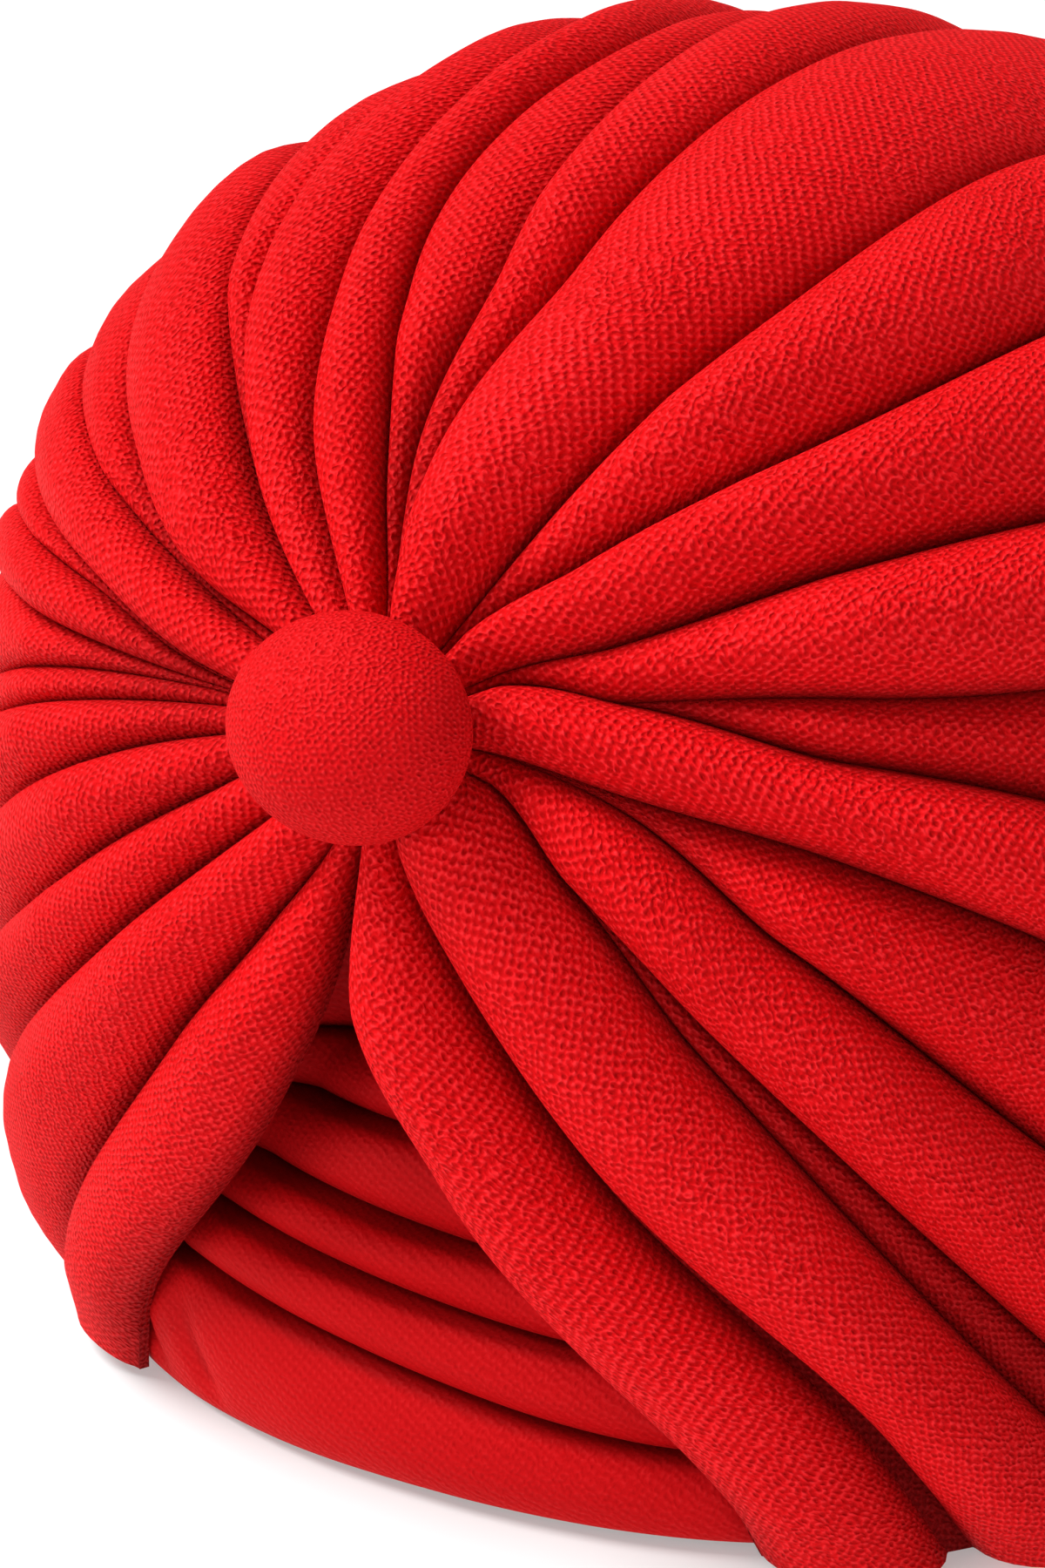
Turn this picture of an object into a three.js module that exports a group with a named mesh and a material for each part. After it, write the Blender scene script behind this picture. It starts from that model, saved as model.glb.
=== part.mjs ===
// Pleated jersey turban hat: a crown wrapped in folds that fan out from a covered button at the
// front, an inverted V under the button, and a forehead band of level rolls showing inside the V.
// Millimetres, +Z up. The hat stands on its rim at Z = 0, its front faces -Y, and the wearer's
// left is +X. The origin is on the resting plane under the middle of the hat's overall box.
import * as THREE from "three";

const FABRIC_RED = 0xc8101a;
const FABRIC_ROUGHNESS = 0.85;

// Middle of the finished hat in plan, measured from the middle of the crown's dome.
const HAT_MIDDLE = { x: 2.23, y: -1.47 };

// Overall form of the crown, a full oval dome cut off level at the rim.
const CROWN = {
  halfWidth: 105,
  frontReach: 112,
  backReach: 119,
  girthHeight: 77,
  riseAboveGirth: 100,
  dropBelowGirth: 180,
  planFullness: 2.2,
  profileFullness: 2.1,
};

// Near the rim the plan is squarer and sits turned and moved over a little from the crown.
const RIM_FULLNESS = 2.45;
const RIM_TWIST = 2;
const RIM_SHIFT = 6;
const RIM_INFLUENCE_HEIGHT = 80;

// The folds fan out from the knot under the button, round a line that falls towards the nape.
const KNOT_HEIGHT = 104;
const FAN_FALL = 0.6;
const FAN_CENTRE_DEPTH = 110;
const KNOT_HOLE_RADIUS = 5.5;
const REACH_HALVINGS = 42;
const SLOPE_STEP = 0.05;
const RIM_SEARCH = { from: 5, to: 179 };

// Angles out from the knot, seen from the fan centre, where the crease directions are given.
const STATIONS = { knot: 8, near: 16, mid: 30, far: 60 };

// One row per fold, counted from the free edge right of the V, up over the crown and down to the
// free edge left of it. A direction is where the crease before the fold leaves the knot: 0 points
// to the wearer's left, 90 to the top. Height is the rise of the roll above its creases and kept
// the share of the crease's depth left far from the knot; start and end say how steeply the roll
// leaves its two creases, 0.5 being upright; cuts is the number of flats across it.
const FOLD_COLUMNS = [
  "name", "knot", "near", "mid", "far", "height", "kept", "start", "end", "cuts",
];
const FOLDS = table(FOLD_COLUMNS, [
  ["left flap edge", -98, -96, -80, -60, 12.0, 1.0, 0.5, 0.5, 6],
  ["left flap gap", -76, -68.5, -60, -48.2, 2.0, 1.0, 0.8, 0.8, 3],
  ["left flap roll", -75, -66, -58, -46.6, 12.0, 1.0, 0.5, 0.5, 6],
  ["left tuck", -19, -31.4, -37, -37.4, 2.5, 1.0, 0.8, 0.8, 3],
  ["left cheek roll", -18, -30, -33, -33, 11.0, 1.0, 0.5, 0.5, 6],
  ["left cheek tuck", -4.8, -9, -17.5, -20, 5.0, 1.0, 0.8, 0.8, 3],
  ["left temple roll", -4, -6, -5, -5, 11.0, 1.0, 0.6, 0.45, 6],
  ["left temple tuck", 27.4, 14.4, 7, 7, 5.0, 1.0, 0.8, 0.8, 3],
  ["left side roll", 28, 15, 15, 20, 11.0, 0.9, 0.5, 0.5, 6],
  ["left upper roll", 33, 28, 30, 33, 11.0, 0.85, 0.5, 0.5, 6],
  ["left crown roll", 57, 49, 46, 49, 11.0, 0.75, 0.5, 0.5, 6],
  ["broad crown roll", 63, 64, 63, 64, 11.0, 0.65, 0.5, 0.5, 6],
  ["top roll", 96, 93, 85, 82, 10.6, 0.55, 0.5, 0.5, 6],
  ["top tuck", 100, 101, 97, 94, 5.0, 0.5, 0.8, 0.8, 3],
  ["right top roll", 103, 105, 105, 100, 10.2, 0.45, 0.5, 0.5, 6],
  ["right crown roll", 120, 123, 116, 110, 10.0, 0.4, 0.5, 0.5, 6],
  ["right upper roll", 136, 135, 130, 124, 10.0, 0.35, 0.55, 0.45, 6],
  ["right upper tuck", 152, 154, 147, 139, 7.0, 0.3, 0.6, 0.6, 3],
  ["right temple roll", 158, 156, 152, 144, 9.6, 0.3, 0.5, 0.5, 6],
  ["right side pleat", 175, 171, 162, 155, 6.0, 0.3, 0.6, 0.6, 3],
  ["right side roll", 175.6, 171.8, 164, 159, 9.5, 0.3, 0.5, 0.5, 6],
  ["right side tuck", 176.6, 174.6, 171, 164, 7.0, 0.35, 0.6, 0.6, 3],
  ["right low tuck", 178, 176, 175.5, 176, 6.0, 0.45, 0.6, 0.6, 3],
  ["right low roll", 180, 180, 180, 180, 10.0, 0.4, 0.5, 0.5, 6],
  ["right cheek roll", 188, 188, 189, 190, 9.7, 0.5, 0.5, 0.5, 6],
  ["right jaw roll", 200, 202, 202, 199, 10.4, 0.6, 0.5, 0.5, 6],
  ["right flap roll", 220, 217, 213.5, 209, 11.0, 0.75, 0.5, 0.5, 6],
  ["right flap edge", 247, 238.5, 231, 226, 10.4, 0.9, 0.5, 0.5, 6],
]);
const LAST_EDGE = { knot: 259, near: 257, mid: 250, far: 238, kept: 1 };

// Roll shape: crests stand proud of the dome, creases sink below it, both easing in at the knot.
// Between two angles out from the knot the creases fade and the wrap sinks a little.
const CREST_LEVEL = 1.8;
const KNOT_DIP = 5;
const KNOT_DIP_REACH = 14;
const CREASE_DEPTH = 11;
const CREASE_REACH = 12;
const FADE_FROM = 14;
const FADE_TO = 48;
const FAR_SINK = 4.2;
const ROLL_SLENDERNESS = 0.7;
const WALL = 1.5;
const BACK_EASING = 0.45;
const BACK_EASING_FROM = 10;
const BACK_EASING_TO = 110;

// The two flaps beside the V stand off from the dome to clear the band behind them.
const FLAP_LIFT = 5.5;
const FLAP_LIFT_SPREAD = 14;

// The lower corners of the two flaps are rounded off above the resting plane.
const LEFT_CORNER_LIFT = 1.5;
const RIGHT_CORNER_LIFT = 7.5;
const FLAP_CORNER_SPREAD = 11;

// The rim is turned in just above the resting plane.
const RIM_TURN = 3;
const RIM_TURN_HEIGHT = 14;
const RIM_ROW_ANGLE = 3.5;
const CROWN_ROWS = 28;
const ROW_CROWDING = 1.25;
const INNER_COLUMN_STEP = 3;
const INNER_ROW_STEP = 2;

// Forehead band: level rolls from the resting plane up to behind the knot. Heights are those of
// the crease under each roll at the wearer's right and left ends of the V, set is how far the
// roll's crest lies inside the dome at the edges of the V, and start says how steeply the roll
// leaves the crease under it.
const BAND_COLUMNS = ["name", "right", "left", "set", "depth", "start"];
const BAND_ROLLS = table(BAND_COLUMNS, [
  ["brow edge roll", 0, 0, 5.0, 3.5, 0.15],
  ["brow roll", 22.5, 11.5, 9.0, 3.5, 0.5],
  ["low roll", 31, 22, 13.0, 3.5, 0.5],
  ["middle roll", 38, 30.5, 17.0, 3.5, 0.5],
  ["high roll", 47.5, 44, 21.0, 3.5, 0.5],
  ["top roll", 56, 54, 24.0, 3.0, 0.5],
]);
const BAND_TOP = 75;
const BAND_HALF_ANGLE = 44;
const BAND_HIDDEN_SET = 16;
const BAND_HIDING_ANGLE = 9;
const BAND_BULGE = 2;
const BAND_THICKNESS = 2.5;
const BAND_COLUMNS_ACROSS = 20;
const BAND_ROLL_END = 0.5;
const BAND_CUTS = 4;
const V_RIGHT_ANGLE = 28.5;
const V_LEFT_ANGLE = 26;
const V_HEIGHT = 80;

// Button: an oval dome over a plain round back, on a short hidden shank through the knot.
const BUTTON = {
  halfWidth: 15.4,
  halfHeight: 13.4,
  frontDepth: 11,
  backDepth: 3,
  standOff: 2,
  shankRadius: 4,
  shankLength: 14,
};
const BUTTON_SIDES = 30;
const BUTTON_RINGS = 12;
const SHANK_JOIN_ANGLE = 165;

// Rows of values become records with the named columns.
function table(columns, rows) {
  return rows.map((row) => Object.fromEntries(columns.map((name, i) => [name, row[i]])));
}

function radians(degrees) {
  return (degrees * Math.PI) / 180;
}

function mix(a, b, t) {
  return a + (b - a) * t;
}

function smooth(from, to, value) {
  const t = Math.min(1, Math.max(0, (value - from) / (to - from)));
  return t * t * (3 - 2 * t);
}

// Size of a plan position on the dome's plan at a height: 1 on the girth outline.
function planSize(x, y, z) {
  const lowness = 1 - smooth(0, RIM_INFLUENCE_HEIGHT, z);
  const fullness = mix(CROWN.planFullness, RIM_FULLNESS, lowness);
  const turn = radians(RIM_TWIST * lowness);
  const moved = x - RIM_SHIFT * lowness;
  const across = moved * Math.cos(turn) - y * Math.sin(turn);
  const along = moved * Math.sin(turn) + y * Math.cos(turn);
  const reach = along < 0 ? CROWN.frontReach : CROWN.backReach;
  const acrossShare = Math.abs(across / CROWN.halfWidth) ** fullness;
  const alongShare = Math.abs(along / reach) ** fullness;
  return (acrossShare + alongShare) ** (1 / fullness);
}

// Share of the height used up above or below the girth.
function heightShare(z) {
  const above = z - CROWN.girthHeight;
  const height = above > 0 ? CROWN.riseAboveGirth : CROWN.dropBelowGirth;
  return Math.abs(above / height) ** CROWN.profileFullness;
}

// Dome level: below zero inside the oval form, zero on it.
function domeLevel(p) {
  return planSize(p.x, p.y, p.z) ** CROWN.profileFullness + heightShare(p.z) - 1;
}

function domeNormal(p) {
  const slope = (axis) => {
    const ahead = p.clone();
    const behind = p.clone();
    ahead[axis] += SLOPE_STEP;
    behind[axis] -= SLOPE_STEP;
    return domeLevel(ahead) - domeLevel(behind);
  };
  return new THREE.Vector3(slope("x"), slope("y"), slope("z")).normalize();
}

// Plan radius of the dome at a height, in a direction turned from the front towards +X.
function domeRadius(angle, z) {
  const ray = new THREE.Vector3(Math.sin(angle), -Math.cos(angle), 0);
  return reachAlong(new THREE.Vector3(0, 0, z), ray);
}

// Distance along a ray from a point inside the dome to the dome.
function reachAlong(from, ray) {
  let inside = 0;
  let outside = 2 * CROWN.dropBelowGirth;
  for (let i = 0; i < REACH_HALVINGS; i += 1) {
    const middle = (inside + outside) / 2;
    const within = domeLevel(from.clone().addScaledVector(ray, middle)) < 0;
    inside = within ? middle : inside;
    outside = within ? outside : middle;
  }
  return inside;
}

const knot = new THREE.Vector3(0, -domeRadius(0, KNOT_HEIGHT), KNOT_HEIGHT);
const fanAxis = new THREE.Vector3(0, 1, -FAN_FALL).normalize();
const fanUp = new THREE.Vector3(0, FAN_FALL, 1).normalize();
const fanSide = new THREE.Vector3(1, 0, 0);
const fanCentre = knot.clone().addScaledVector(fanAxis, FAN_CENTRE_DEPTH);

// Point of the dome in a direction round the fan axis, at an angle out from the knot.
function fanPoint(direction, out) {
  const ray = fanAxis.clone().multiplyScalar(-Math.cos(radians(out)));
  ray.addScaledVector(fanSide, Math.sin(radians(out)) * Math.cos(radians(direction)));
  ray.addScaledVector(fanUp, Math.sin(radians(out)) * Math.sin(radians(direction)));
  return fanCentre.clone().addScaledVector(ray, reachAlong(fanCentre, ray));
}

// Height of the rim: on the resting plane, but rising at the corners of the flaps.
function rimHeight(far) {
  const left = Math.max(0, 1 - (far - FOLDS[0].far) / FLAP_CORNER_SPREAD);
  const right = Math.max(0, 1 - (LAST_EDGE.far - far) / FLAP_CORNER_SPREAD);
  return LEFT_CORNER_LIFT * left ** 2 + RIGHT_CORNER_LIFT * right ** 2;
}

// Angle out from the knot at which a direction comes down to the rim.
function rimAngle(direction) {
  const height = rimHeight(direction);
  let above = RIM_SEARCH.from;
  let below = RIM_SEARCH.to;
  for (let i = 0; i < REACH_HALVINGS; i += 1) {
    const middle = (above + below) / 2;
    const clear = fanPoint(direction, middle).z > height;
    above = clear ? middle : above;
    below = clear ? below : middle;
  }
  return above;
}

// Crease direction at an angle out from the knot: a smooth curve through the stations.
function creaseDirection(crease, out) {
  const names = Object.keys(STATIONS);
  const last = names.length - 1;
  const within = Math.min(STATIONS.far, Math.max(STATIONS.knot, out));
  const slopes = names.slice(1).map((name, i) => {
    return (crease[name] - crease[names[i]]) / (STATIONS[name] - STATIONS[names[i]]);
  });
  const turning = (i) => {
    const before = slopes[i - 1] ?? slopes[0];
    const after = slopes[i] ?? 0;
    return before * after <= 0 ? 0 : (2 * before * after) / (before + after);
  };
  const i = Math.min(last - 1, names.findIndex((name) => STATIONS[name] >= within) - 1);
  const k = Math.max(0, i);
  const [from, to] = [names[k], names[k + 1]];
  const ends = [STATIONS[from], STATIONS[to], crease[from], crease[to]];
  return bend(...ends, turning(k), turning(k + 1), within);
}

// Cubic between two stations with the slopes given at both.
function bend(from, to, start, end, startSlope, endSlope, at) {
  const span = to - from;
  const t = (at - from) / span;
  const rise = t * t * (3 - 2 * t);
  const lead = t * (1 - t) * (1 - t) * span * startSlope;
  const trail = t * t * (t - 1) * span * endSlope;
  return mix(start, end, rise) + lead + trail;
}

// Distance of a dome point from the fan axis.
function fanRadius(p) {
  const offset = p.clone().sub(knot);
  return offset.addScaledVector(fanAxis, -offset.dot(fanAxis)).length();
}

function backEasing(p) {
  return 1 - BACK_EASING * smooth(BACK_EASING_FROM, BACK_EASING_TO, p.y);
}

function crestLevel(radius) {
  return CREST_LEVEL - KNOT_DIP * Math.exp(-radius / KNOT_DIP_REACH);
}

// Share of the full relief at a place: opening out from the knot and easing off at the back.
function openedRelief(p, radius) {
  return (1 - Math.exp(-radius / CREASE_REACH)) * backEasing(p);
}

// Roll between two creases, 1 at its crest, with the steepness it has at its start and end.
function rollShape(share, start, end) {
  const peak = start / (start + end);
  const crest = peak ** start * (1 - peak) ** end;
  return (share ** start * (1 - share) ** end) / crest;
}

// Stand-off of the flaps, falling away from both edges of the V.
function flapLift(direction, out) {
  const fromLeft = direction - creaseDirection(FOLDS[0], out);
  const fromRight = creaseDirection(LAST_EDGE, out) - direction;
  const nearest = Math.min(fromLeft, fromRight) / FLAP_LIFT_SPREAD;
  const opening = smooth(STATIONS.knot, STATIONS.far, out);
  return FLAP_LIFT * opening * Math.exp(-nearest * nearest);
}

// Moves a dome point out along its normal, but only level where it is on the rim.
function standOff(p, distance, overRim) {
  const normal = domeNormal(p);
  const moved = p.clone().addScaledVector(normal, distance);
  moved.z = mix(p.z, moved.z, smooth(0, RIM_TURN_HEIGHT, overRim));
  return moved;
}

// Columns across the wrap: each fold is cut into flats, closer together beside its creases.
const wrapColumns = FOLDS.flatMap((fold, i) => {
  const next = FOLDS[i + 1] ?? LAST_EDGE;
  return Array.from({ length: fold.cuts }, (_, cut) => {
    return { fold, next, share: (1 - Math.cos((Math.PI * cut) / fold.cuts)) / 2 };
  });
});
wrapColumns.push({ fold: FOLDS[FOLDS.length - 1], next: LAST_EDGE, share: 1 });

// Direction of a column at the rim.
function rimDirection(column) {
  return mix(column.fold.far, column.next.far, column.share);
}

// Angle out from the knot of a row, ending on the rim.
function rowAngle(column, row) {
  const rim = rimAngle(rimDirection(column));
  const first = (KNOT_HOLE_RADIUS / FAN_CENTRE_DEPTH) * (180 / Math.PI);
  if (row === CROWN_ROWS) {
    return rim;
  }
  const along = (row / (CROWN_ROWS - 1)) ** ROW_CROWDING;
  return mix(first, rim - RIM_ROW_ANGLE, along);
}

function wrapPoint(column, row, outerFace) {
  const out = rowAngle(column, row);
  const start = creaseDirection(column.fold, out);
  const end = creaseDirection(column.next, out);
  const direction = mix(start, end, column.share);
  const p = fanPoint(direction, out);
  const rim = rimHeight(rimDirection(column));
  if (row === CROWN_ROWS) {
    p.z = rim;
  }
  const radius = fanRadius(p);
  const lift = flapLift(direction, out);
  const kept = mix(column.fold.kept, column.next.kept, column.share);
  const fade = smooth(FADE_FROM, FADE_TO, out);
  const relief = openedRelief(p, radius) * mix(1, kept, fade);
  const low = crestLevel(radius) - CREASE_DEPTH * relief - FAR_SINK * (1 - kept) * fade + lift;
  if (!outerFace) {
    return standOff(p, low - WALL, p.z - rim);
  }
  const width = radians(end - start) * radius;
  const rise = Math.min(column.fold.height * relief - lift, ROLL_SLENDERNESS * width);
  const roll = rollShape(column.share, column.fold.start, column.fold.end);
  const turn = RIM_TURN * (1 - smooth(0, RIM_TURN_HEIGHT, p.z - rim));
  return standOff(p, low + Math.max(0, rise * roll - turn), p.z - rim);
}

// Closed body between an outer and a coarser inner grid of points, sewn together at the borders.
function shell(outer, inner, columnStep, rowStep) {
  const positions = [];
  const index = [];
  const add = (grid) => grid.map((line) => line.map((p) => positions.push(p.x, p.y, p.z) / 3 - 1));
  const out = add(outer);
  const inn = add(inner);
  const face = (a, b, c) => index.push(a, b, c);
  for (let i = 0; i + 1 < out.length; i += 1) {
    for (let j = 0; j + 1 < out[i].length; j += 1) {
      face(out[i][j], out[i + 1][j], out[i + 1][j + 1]);
      face(out[i][j], out[i + 1][j + 1], out[i][j + 1]);
    }
  }
  for (let i = 0; i + 1 < inn.length; i += 1) {
    for (let j = 0; j + 1 < inn[i].length; j += 1) {
      face(inn[i][j], inn[i + 1][j + 1], inn[i + 1][j]);
      face(inn[i][j], inn[i][j + 1], inn[i + 1][j + 1]);
    }
  }
  const sew = (fine, coarse, step) => {
    for (let k = 0; k + 1 < coarse.length; k += 1) {
      for (let n = 0; n < step; n += 1) {
        face(fine[k * step + n + 1], fine[k * step + n], coarse[k]);
      }
      face(coarse[k], coarse[k + 1], fine[(k + 1) * step]);
    }
  };
  const row = (grid, j) => grid.map((line) => line[j]);
  const last = (list) => list[list.length - 1];
  sew(row(out, 0), row(inn, 0), columnStep);
  sew(last(out), last(inn), rowStep);
  sew(row(out, out[0].length - 1).reverse(), row(inn, inn[0].length - 1).reverse(), columnStep);
  sew([...out[0]].reverse(), [...inn[0]].reverse(), rowStep);
  const geometry = new THREE.BufferGeometry();
  geometry.setAttribute("position", new THREE.Float32BufferAttribute(positions, 3));
  geometry.setIndex(index);
  return geometry;
}

function every(list, step) {
  return list.filter((_, i) => i % step === 0);
}

function count(first, last) {
  return Array.from({ length: last - first + 1 }, (_, i) => first + i);
}

function crownGeometry() {
  const rows = count(0, CROWN_ROWS);
  const outer = wrapColumns.map((column) => rows.map((row) => wrapPoint(column, row, true)));
  const inner = every(wrapColumns, INNER_COLUMN_STEP).map((column) => {
    return every(rows, INNER_ROW_STEP).map((row) => wrapPoint(column, row, false));
  });
  return shell(outer.reverse(), inner.reverse(), INNER_COLUMN_STEP, INNER_ROW_STEP);
}

// Band point: angle round the front, roll and share of the way up the roll.
function bandPoint(angle, rollIndex, share, outerFace) {
  const roll = BAND_ROLLS[rollIndex];
  const above = BAND_ROLLS[rollIndex + 1] ?? { right: BAND_TOP, left: BAND_TOP };
  const across = smooth(-V_RIGHT_ANGLE, V_LEFT_ANGLE, angle);
  const low = mix(roll.right, roll.left, across);
  const high = mix(above.right, above.left, across);
  const z = mix(low, high, share);
  const edge = (angle < 0 ? V_RIGHT_ANGLE : V_LEFT_ANGLE) * (1 - z / V_HEIGHT);
  const bulge = BAND_BULGE * Math.max(0, 1 - (angle / edge) ** 2);
  const hiding = smooth(0, BAND_HIDING_ANGLE, Math.abs(angle) - edge);
  const crest = bulge - mix(roll.set, BAND_HIDDEN_SET, hiding);
  const sunk = roll.depth * (1 - rollShape(share, roll.start, BAND_ROLL_END));
  const inset = outerFace ? crest - sunk : crest - roll.depth - BAND_THICKNESS;
  const radius = domeRadius(radians(angle), z) + inset;
  return new THREE.Vector3(radius * Math.sin(radians(angle)), -radius * Math.cos(radians(angle)), z);
}

function bandGeometry() {
  const angles = count(0, BAND_COLUMNS_ACROSS).map((i) => {
    return mix(-BAND_HALF_ANGLE, BAND_HALF_ANGLE, i / BAND_COLUMNS_ACROSS);
  });
  const steps = count(0, BAND_ROLLS.length * BAND_CUTS);
  const levels = steps.map((step) => {
    const rollIndex = Math.min(BAND_ROLLS.length - 1, Math.floor(step / BAND_CUTS));
    return { rollIndex, share: step / BAND_CUTS - rollIndex };
  });
  const line = (angle, list, outerFace) => {
    return list.map((level) => bandPoint(angle, level.rollIndex, level.share, outerFace));
  };
  const outer = angles.map((angle) => line(angle, levels, true));
  const inner = angles.map((angle) => line(angle, every(levels, BAND_CUTS), false));
  return shell(outer, inner, 1, BAND_CUTS);
}

// Button dome turned about the dome's normal at the knot, its back running into the shank.
function buttonGeometry() {
  const normal = domeNormal(knot);
  const side = fanSide.clone();
  const up = new THREE.Vector3().crossVectors(normal, side);
  const centre = knot.clone().addScaledVector(normal, BUTTON.standOff);
  const at = (across, upward, ahead) => {
    const p = centre.clone().addScaledVector(side, across);
    return p.addScaledVector(up, upward).addScaledVector(normal, ahead);
  };
  const rings = count(1, BUTTON_RINGS).map((ring) => {
    const tilt = radians((SHANK_JOIN_ANGLE * ring) / BUTTON_RINGS);
    const depth = Math.cos(tilt) > 0 ? BUTTON.frontDepth : BUTTON.backDepth;
    const half = Math.sin(tilt);
    const shape = { across: BUTTON.halfWidth * half, up: BUTTON.halfHeight * half };
    return { ...shape, ahead: depth * Math.cos(tilt) };
  });
  const shank = { across: BUTTON.shankRadius, up: BUTTON.shankRadius };
  rings[BUTTON_RINGS - 1] = { ...shank, ahead: rings[BUTTON_RINGS - 1].ahead };
  rings.push({ ...shank, ahead: -BUTTON.backDepth - BUTTON.shankLength });
  const positions = [];
  const index = [];
  const put = (p) => positions.push(p.x, p.y, p.z) / 3 - 1;
  const tip = put(at(0, 0, BUTTON.frontDepth));
  const rows = rings.map((ring) => {
    return count(0, BUTTON_SIDES - 1).map((k) => {
      const turn = (2 * Math.PI * k) / BUTTON_SIDES;
      return put(at(ring.across * Math.cos(turn), ring.up * Math.sin(turn), ring.ahead));
    });
  });
  const tail = put(at(0, 0, rings[rings.length - 1].ahead));
  for (let k = 0; k < BUTTON_SIDES; k += 1) {
    const n = (k + 1) % BUTTON_SIDES;
    index.push(tip, rows[0][k], rows[0][n]);
    for (let r = 0; r + 1 < rows.length; r += 1) {
      index.push(rows[r][k], rows[r + 1][k], rows[r + 1][n]);
      index.push(rows[r][k], rows[r + 1][n], rows[r][n]);
    }
    index.push(rows[rows.length - 1][k], tail, rows[rows.length - 1][n]);
  }
  const geometry = new THREE.BufferGeometry();
  geometry.setAttribute("position", new THREE.Float32BufferAttribute(positions, 3));
  geometry.setIndex(index);
  return geometry;
}

function piece(name, geometry) {
  const material = new THREE.MeshStandardMaterial({
    color: FABRIC_RED,
    roughness: FABRIC_ROUGHNESS,
    metalness: 0,
  });
  geometry.translate(-HAT_MIDDLE.x, -HAT_MIDDLE.y, 0);
  geometry.computeVertexNormals();
  const mesh = new THREE.Mesh(geometry, material);
  mesh.name = name;
  return mesh;
}

const turban = new THREE.Group();
turban.name = "turban_hat";
turban.add(piece("crown_wrap", crownGeometry()));
turban.add(piece("forehead_band", bandGeometry()));
turban.add(piece("covered_button", buttonGeometry()));

export default turban;
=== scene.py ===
"""Pleated jersey turban hat: folds fanned out from a covered button over a rolled forehead band."""

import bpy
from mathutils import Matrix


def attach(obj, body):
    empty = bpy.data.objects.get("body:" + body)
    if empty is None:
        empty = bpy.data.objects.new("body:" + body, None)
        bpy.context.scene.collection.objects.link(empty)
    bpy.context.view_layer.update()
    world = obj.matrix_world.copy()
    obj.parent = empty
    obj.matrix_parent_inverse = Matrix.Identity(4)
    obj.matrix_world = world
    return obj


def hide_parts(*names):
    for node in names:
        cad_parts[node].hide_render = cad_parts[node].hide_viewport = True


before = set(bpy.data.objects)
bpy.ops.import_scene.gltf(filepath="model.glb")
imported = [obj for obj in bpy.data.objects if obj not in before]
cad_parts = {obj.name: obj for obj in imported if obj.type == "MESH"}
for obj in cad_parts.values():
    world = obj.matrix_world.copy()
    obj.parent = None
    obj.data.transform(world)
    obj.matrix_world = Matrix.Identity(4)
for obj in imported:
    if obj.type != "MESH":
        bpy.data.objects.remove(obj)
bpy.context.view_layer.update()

import math

import bpy
import numpy as np
from bpy.props import FloatProperty, FloatVectorProperty, IntProperty, PointerProperty

bl_info = {
    "name": "Pleated turban hat",
    "version": (1, 0, 0),
    "blender": (4, 5, 0),
    "location": "View3D > Sidebar > Turban hat",
    "description": "Dresses the frame of a pleated jersey turban hat",
    "category": "Add Mesh",
}

MM = 0.001
BODY = "root"
CLOTH_MAP = "cloth"
CREASE_SHADE = "hollow"
PLEAT_TREE = "pleat_rolls"

# Middle of the hat in plan, measured from the middle of the crown's dome, in millimetres.
HAT_MIDDLE = np.array([2.23, -1.47, 0.0])

# Near the rim the plan is squarer and sits turned and moved over a little from the crown.
PLAN_FULLNESS = 2.2
RIM_FULLNESS = 2.45
RIM_TWIST = 2
RIM_SHIFT = 6
RIM_INFLUENCE_HEIGHT = 80
PROFILE_FULLNESS = 2.1

# The folds fan out from the knot under the button, round a line that falls towards the nape.
FAN_FALL = 0.6
FAN_CENTRE_DEPTH = 110
KNOT_HOLE_RADIUS = 5.5
GATHER_REACH = 30
ROW_CROWDING = 1.25

# How finely points of the dome are sought and its slope is measured.
HALVINGS = 42
SLOPE_STEP = 0.05

# Angles out from the knot between which the creases lose their depth.
FADE_FROM = 14
FADE_TO = 48

# Places behind the middle between which the relief is eased.
EASING_FROM = 10
EASING_TO = 110

# The lower corners of the two flaps beside the V are rounded off above the floor, and the flaps
# stand off the band. Spreads are in degrees round the fan.
LEFT_CORNER_LIFT = 1.5
RIGHT_CORNER_LIFT = 3.4
FLAP_CORNER_SPREAD = 11
RIGHT_CORNER_IN = 6
RIGHT_CORNER_SPREAD = 7.5
FLAP_LIFT_SPREAD = 14
RIM_EASE_HEIGHT = 14

# Angles out from the knot, seen from the fan centre, where the crease directions are given.
STATIONS = (8, 16, 30, 60)

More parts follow.
